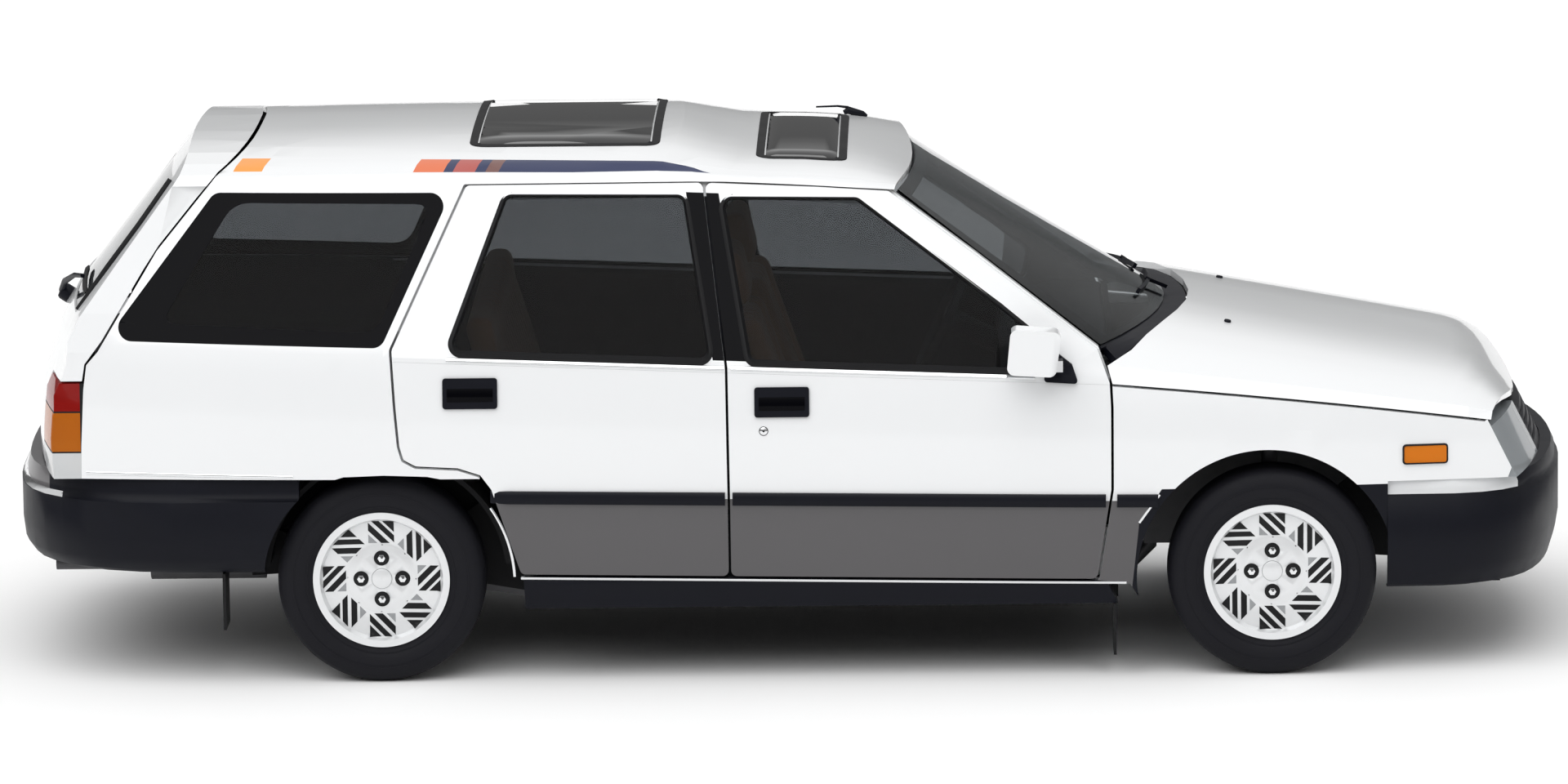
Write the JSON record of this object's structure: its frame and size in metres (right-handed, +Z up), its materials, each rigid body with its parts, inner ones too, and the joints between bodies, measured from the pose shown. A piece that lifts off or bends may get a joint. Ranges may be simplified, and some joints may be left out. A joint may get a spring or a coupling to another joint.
{
  "type": "station wagon",
  "caption": "Station wagon with a raised rear roof, opening doors, bonnet and tailgate, steered front wheels and turning road wheels.",
  "frame": {"origin": "on the ground, at the centre of the outline box", "axes": "+X to the front of the car, +Y to its left, +Z up"},
  "size_m": [4.196, 1.8, 1.417],
  "materials": {
    "paint": "gloss white body paint",
    "underbody": "dark underseal",
    "glass": "clear, lightly tinted",
    "trim": "grained black plastic",
    "flap": "matt rubber",
    "lamp_clear": "fluted clear lens",
    "lamp_red": "ribbed red and amber lens",
    "seat": "brown woven cloth",
    "steel": "dull steel and castings",
    "tyre": "rubber with road tread",
    "alloy": "silver painted alloy with dark slots"
  },
  "bodies": {
    "body": {"floor_pan": "underbody", "front_structure": "underbody", "body_side_right": "paint", "body_side_left": "paint", "roof_panel": "paint", "sunroof_glass": "glass", "windscreen": "glass", "windscreen_frame": "underbody", "wipers": "trim", "fender_right": "paint", "fender_left": "paint", "front_bumper": "trim", "grille": "trim", "front_lamps": "lamp_clear", "rear_bumper": "trim", "rear_lamps": "lamp_red", "quarter_glass": "glass", "front_seat_right": "seat", "front_seat_left": "seat", "rear_seat": "seat", "dashboard": "trim", "engine": "steel", "front_suspension": "steel", "rear_axle": "steel", "fuel_tank": "underbody", "exhaust": "steel", "mud_flaps": "flap"},
    "bonnet": {"bonnet": "paint"},
    "tailgate": {"tailgate": "paint", "tailgate_glass": "glass"},
    "steering_wheel": {"steering_wheel": "trim"},
    "steer_left": {"knuckle_left": "steel"},
    "steer_right": {"knuckle_right": "steel"},
    "door_front_right": {"door_front_right": "paint", "glass_front_right": "glass", "fittings_front_right": "trim"},
    "wheel_front_right": {"tyre_front_right": "tyre", "rim_front_right": "alloy"},
    "door_front_left": {"door_front_left": "paint", "glass_front_left": "glass", "fittings_front_left": "trim"},
    "wheel_front_left": {"tyre_front_left": "tyre", "rim_front_left": "alloy"},
    "door_rear_right": {"door_rear_right": "paint", "glass_rear_right": "glass", "fittings_rear_right": "trim"},
    "wheel_rear_right": {"tyre_rear_right": "tyre", "rim_rear_right": "alloy"},
    "door_rear_left": {"door_rear_left": "paint", "glass_rear_left": "glass", "fittings_rear_left": "trim"},
    "wheel_rear_left": {"tyre_rear_left": "tyre", "rim_rear_left": "alloy"}
  },
  "joints": [
    {"name": "door_front_right_hinge", "type": "hinge", "parent": "body", "child": "door_front_right", "pos_m": [0.865, -0.817, 0.7], "axis": [0, 0, 1], "range_deg": [0, 65]},
    {"name": "wheel_front_right_spin", "type": "hinge", "parent": "steer_right", "child": "wheel_front_right", "pos_m": [1.29, -0.695, 0.279], "axis": [0, 1, 0], "continuous": true},
    {"name": "door_front_left_hinge", "type": "hinge", "parent": "body", "child": "door_front_left", "pos_m": [0.865, 0.817, 0.7], "axis": [0, 0, -1], "range_deg": [0, 65]},
    {"name": "wheel_front_left_spin", "type": "hinge", "parent": "steer_left", "child": "wheel_front_left", "pos_m": [1.29, 0.695, 0.279], "axis": [0, 1, 0], "continuous": true},
    {"name": "door_rear_right_hinge", "type": "hinge", "parent": "body", "child": "door_rear_right", "pos_m": [-0.157, -0.817, 0.7], "axis": [0, 0, 1], "range_deg": [0, 65]},
    {"name": "wheel_rear_right_spin", "type": "hinge", "parent": "body", "child": "wheel_rear_right", "pos_m": [-1.09, -0.688, 0.279], "axis": [0, 1, 0], "continuous": true},
    {"name": "door_rear_left_hinge", "type": "hinge", "parent": "body", "child": "door_rear_left", "pos_m": [-0.157, 0.817, 0.7], "axis": [0, 0, -1], "range_deg": [0, 65]},
    {"name": "wheel_rear_left_spin", "type": "hinge", "parent": "body", "child": "wheel_rear_left", "pos_m": [-1.09, 0.688, 0.279], "axis": [0, 1, 0], "continuous": true},
    {"name": "steer_left_turn", "type": "hinge", "parent": "body", "child": "steer_left", "pos_m": [1.29, 0.65, 0.279], "axis": [0, 0, 1], "range_deg": [-35, 35]},
    {"name": "steer_right_turn", "type": "hinge", "parent": "body", "child": "steer_right", "pos_m": [1.29, -0.65, 0.279], "axis": [0, 0, 1], "range_deg": [-35, 35]},
    {"name": "steering_wheel_turn", "type": "hinge", "parent": "body", "child": "steering_wheel", "pos_m": [0.42, 0.35, 0.79], "axis": [-0.9063, 0, 0.4226], "range_deg": [-525, 525]},
    {"name": "bonnet_hinge", "type": "hinge", "parent": "body", "child": "bonnet", "pos_m": [0.82, 0, 0.875], "axis": [0, -1, 0], "range_deg": [0, 45]},
    {"name": "tailgate_hinge", "type": "hinge", "parent": "body", "child": "tailgate", "pos_m": [-1.44, 0, 1.408], "axis": [0, 1, 0], "range_deg": [0, 80]}
  ],
  "couplings": [
    {"joint": "steer_right_turn", "follows": "steer_left_turn", "ratio": 1},
    {"joint": "steering_wheel_turn", "follows": "steer_left_turn", "ratio": 15}
  ]
}
